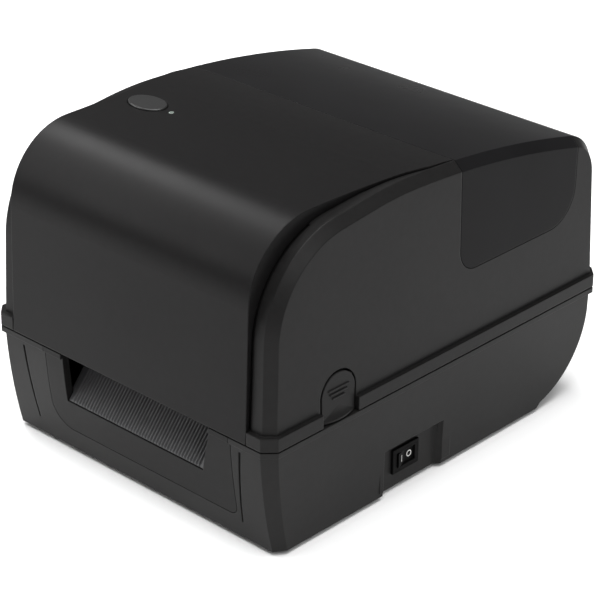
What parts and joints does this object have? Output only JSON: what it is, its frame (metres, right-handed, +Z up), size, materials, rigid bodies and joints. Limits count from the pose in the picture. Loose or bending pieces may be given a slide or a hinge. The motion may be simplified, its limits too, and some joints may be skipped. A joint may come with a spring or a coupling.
{
  "type": "label printer",
  "caption": "Black desktop label printer, clamshell lid with a smoked saddle window over a roll bay, ridged label exit, ribbon carriage, side latches and rocker switch.",
  "frame": {"origin": "on the table, under the middle of the case's outline", "axes": "+X to the right as seen from the front, +Y to the rear, +Z up; the label leaves towards -Y"},
  "size_m": [0.216, 0.276, 0.1859],
  "materials": {
    "case_black": "fine moulded texture",
    "inner_grey": "moulded",
    "holder_grey": "moulded",
    "window_smoke": "polished smoke",
    "gloss_black": "gloss",
    "button_black": "satin",
    "light_clear": "translucent",
    "steel": "zinc plated",
    "motor_black": "satin",
    "sink_aluminium": "anodised",
    "head_ceramic": "glazed",
    "gear_white": "moulded",
    "brass_gear": "machined",
    "board_green": "solder mask",
    "platen_rubber": "ground",
    "foot_rubber": "matte"
  },
  "bodies": {
    "base": {"base_case": "case_black", "front_panel": "case_black", "exit_ramp": "inner_grey", "tear_bar": "steel", "print_chassis": "steel", "platen_bushings": "gear_white", "stepper_motor": "motor_black", "media_deck": "inner_grey", "media_sensor": "gloss_black", "main_board": "board_green", "power_inlet": "gloss_black", "usb_port": "steel", "switch_frame": "gloss_black", "rubber_feet": "foot_rubber", "case_screws": "steel", "hinge_brackets": "inner_grey", "latch_catches": "inner_grey"},
    "platen": {"platen_roller": "platen_rubber", "platen_shaft": "steel", "platen_gear": "gear_white"},
    "idler": {"idler_gear": "gear_white"},
    "motor_rotor": {"motor_pinion": "brass_gear"},
    "holder_left": {"roll_holder_left": "holder_grey"},
    "holder_right": {"roll_holder_right": "holder_grey"},
    "holder_wheel": {"holder_pinion": "gear_white"},
    "guide_left": {"media_guide_left": "holder_grey"},
    "guide_right": {"media_guide_right": "holder_grey"},
    "rocker": {"switch_rocker": "gloss_black"},
    "lid": {"lid_shell": "case_black", "lid_skin": "case_black", "media_window": "window_smoke", "ribbon_carriage": "steel", "ribbon_rods": "steel", "print_head": "head_ceramic", "heat_sink": "sink_aluminium", "head_springs": "steel", "rewind_motor": "motor_black", "feed_light": "light_clear", "hinge_pins": "steel"},
    "feed": {"feed_button": "button_black"},
    "left_latch": {"latch_left": "case_black"},
    "right_latch": {"latch_right": "case_black"},
    "supply": {"ribbon_supply_spindle": "holder_grey"},
    "rewind": {"ribbon_rewind_spindle": "holder_grey", "rewind_gear": "gear_white"},
    "rewind_rotor": {"rewind_pinion": "brass_gear"}
  },
  "joints": [
    {"name": "lid_hinge", "type": "hinge", "parent": "base", "child": "lid", "pos_m": [0, 0.1335, 0.072], "axis": [-1, 0, 0], "range_deg": [0, 90]},
    {"name": "platen_spin", "type": "hinge", "parent": "base", "child": "platen", "pos_m": [0, -0.1, 0.0588], "axis": [1, 0, 0], "continuous": true},
    {"name": "idler_spin", "type": "hinge", "parent": "base", "child": "idler", "pos_m": [0, -0.082, 0.0348], "axis": [1, 0, 0], "continuous": true},
    {"name": "motor_spin", "type": "hinge", "parent": "base", "child": "motor_rotor", "pos_m": [0, -0.06, 0.0252], "axis": [1, 0, 0], "continuous": true},
    {"name": "holder_slide_left", "type": "slide", "parent": "base", "child": "holder_left", "axis": [1, 0, 0], "range_m": [0, 0.042]},
    {"name": "holder_slide_right", "type": "slide", "parent": "base", "child": "holder_right", "axis": [1, 0, 0], "range_m": [-0.042, 0]},
    {"name": "holder_wheel_turn", "type": "hinge", "parent": "base", "child": "holder_wheel", "pos_m": [0.0058, 0.045, 0], "axis": [0, 0, 1], "range_deg": [0, 241]},
    {"name": "guide_slide_left", "type": "slide", "parent": "base", "child": "guide_left", "axis": [1, 0, 0], "range_m": [0, 0.042]},
    {"name": "guide_slide_right", "type": "slide", "parent": "base", "child": "guide_right", "axis": [1, 0, 0], "range_m": [-0.042, 0]},
    {"name": "switch_rock", "type": "hinge", "parent": "base", "child": "rocker", "pos_m": [0.1004, -0.0258, 0.0185], "axis": [0, 0, 1], "range_deg": [-16, 0]},
    {"name": "feed_press", "type": "slide", "parent": "lid", "child": "feed", "axis": [0, 0, -1], "range_m": [0, 0.0012], "stiffness_N_per_m": 300, "springref_m": -0.0005},
    {"name": "latch_pull_left", "type": "hinge", "parent": "lid", "child": "left_latch", "pos_m": [-0.10355, -0.0842, 0.09], "axis": [0, 1, 0], "range_deg": [0, 12], "stiffness_Nm_per_rad": 0.05, "springref_deg": -5.73},
    {"name": "latch_pull_right", "type": "hinge", "parent": "lid", "child": "right_latch", "pos_m": [0.10355, -0.0842, 0.09], "axis": [0, -1, 0], "range_deg": [0, 12], "stiffness_Nm_per_rad": 0.05, "springref_deg": -5.73},
    {"name": "supply_spin", "type": "hinge", "parent": "lid", "child": "supply", "pos_m": [0, -0.038, 0.138], "axis": [1, 0, 0], "continuous": true},
    {"name": "rewind_spin", "type": "hinge", "parent": "lid", "child": "rewind", "pos_m": [0, -0.092, 0.116], "axis": [1, 0, 0], "continuous": true},
    {"name": "rewind_motor_spin", "type": "hinge", "parent": "lid", "child": "rewind_rotor", "pos_m": [0, -0.071, 0.116], "axis": [1, 0, 0], "continuous": true}
  ],
  "couplings": [
    {"joint": "idler_spin", "follows": "platen_spin", "ratio": -0.66667},
    {"joint": "motor_spin", "follows": "platen_spin", "ratio": 2},
    {"joint": "holder_slide_right", "follows": "holder_slide_left", "ratio": -1},
    {"joint": "holder_wheel_turn", "follows": "holder_slide_left", "rad_per_m": 100},
    {"joint": "guide_slide_right", "follows": "guide_slide_left", "ratio": -1},
    {"joint": "rewind_motor_spin", "follows": "rewind_spin", "ratio": -2.5}
  ]
}
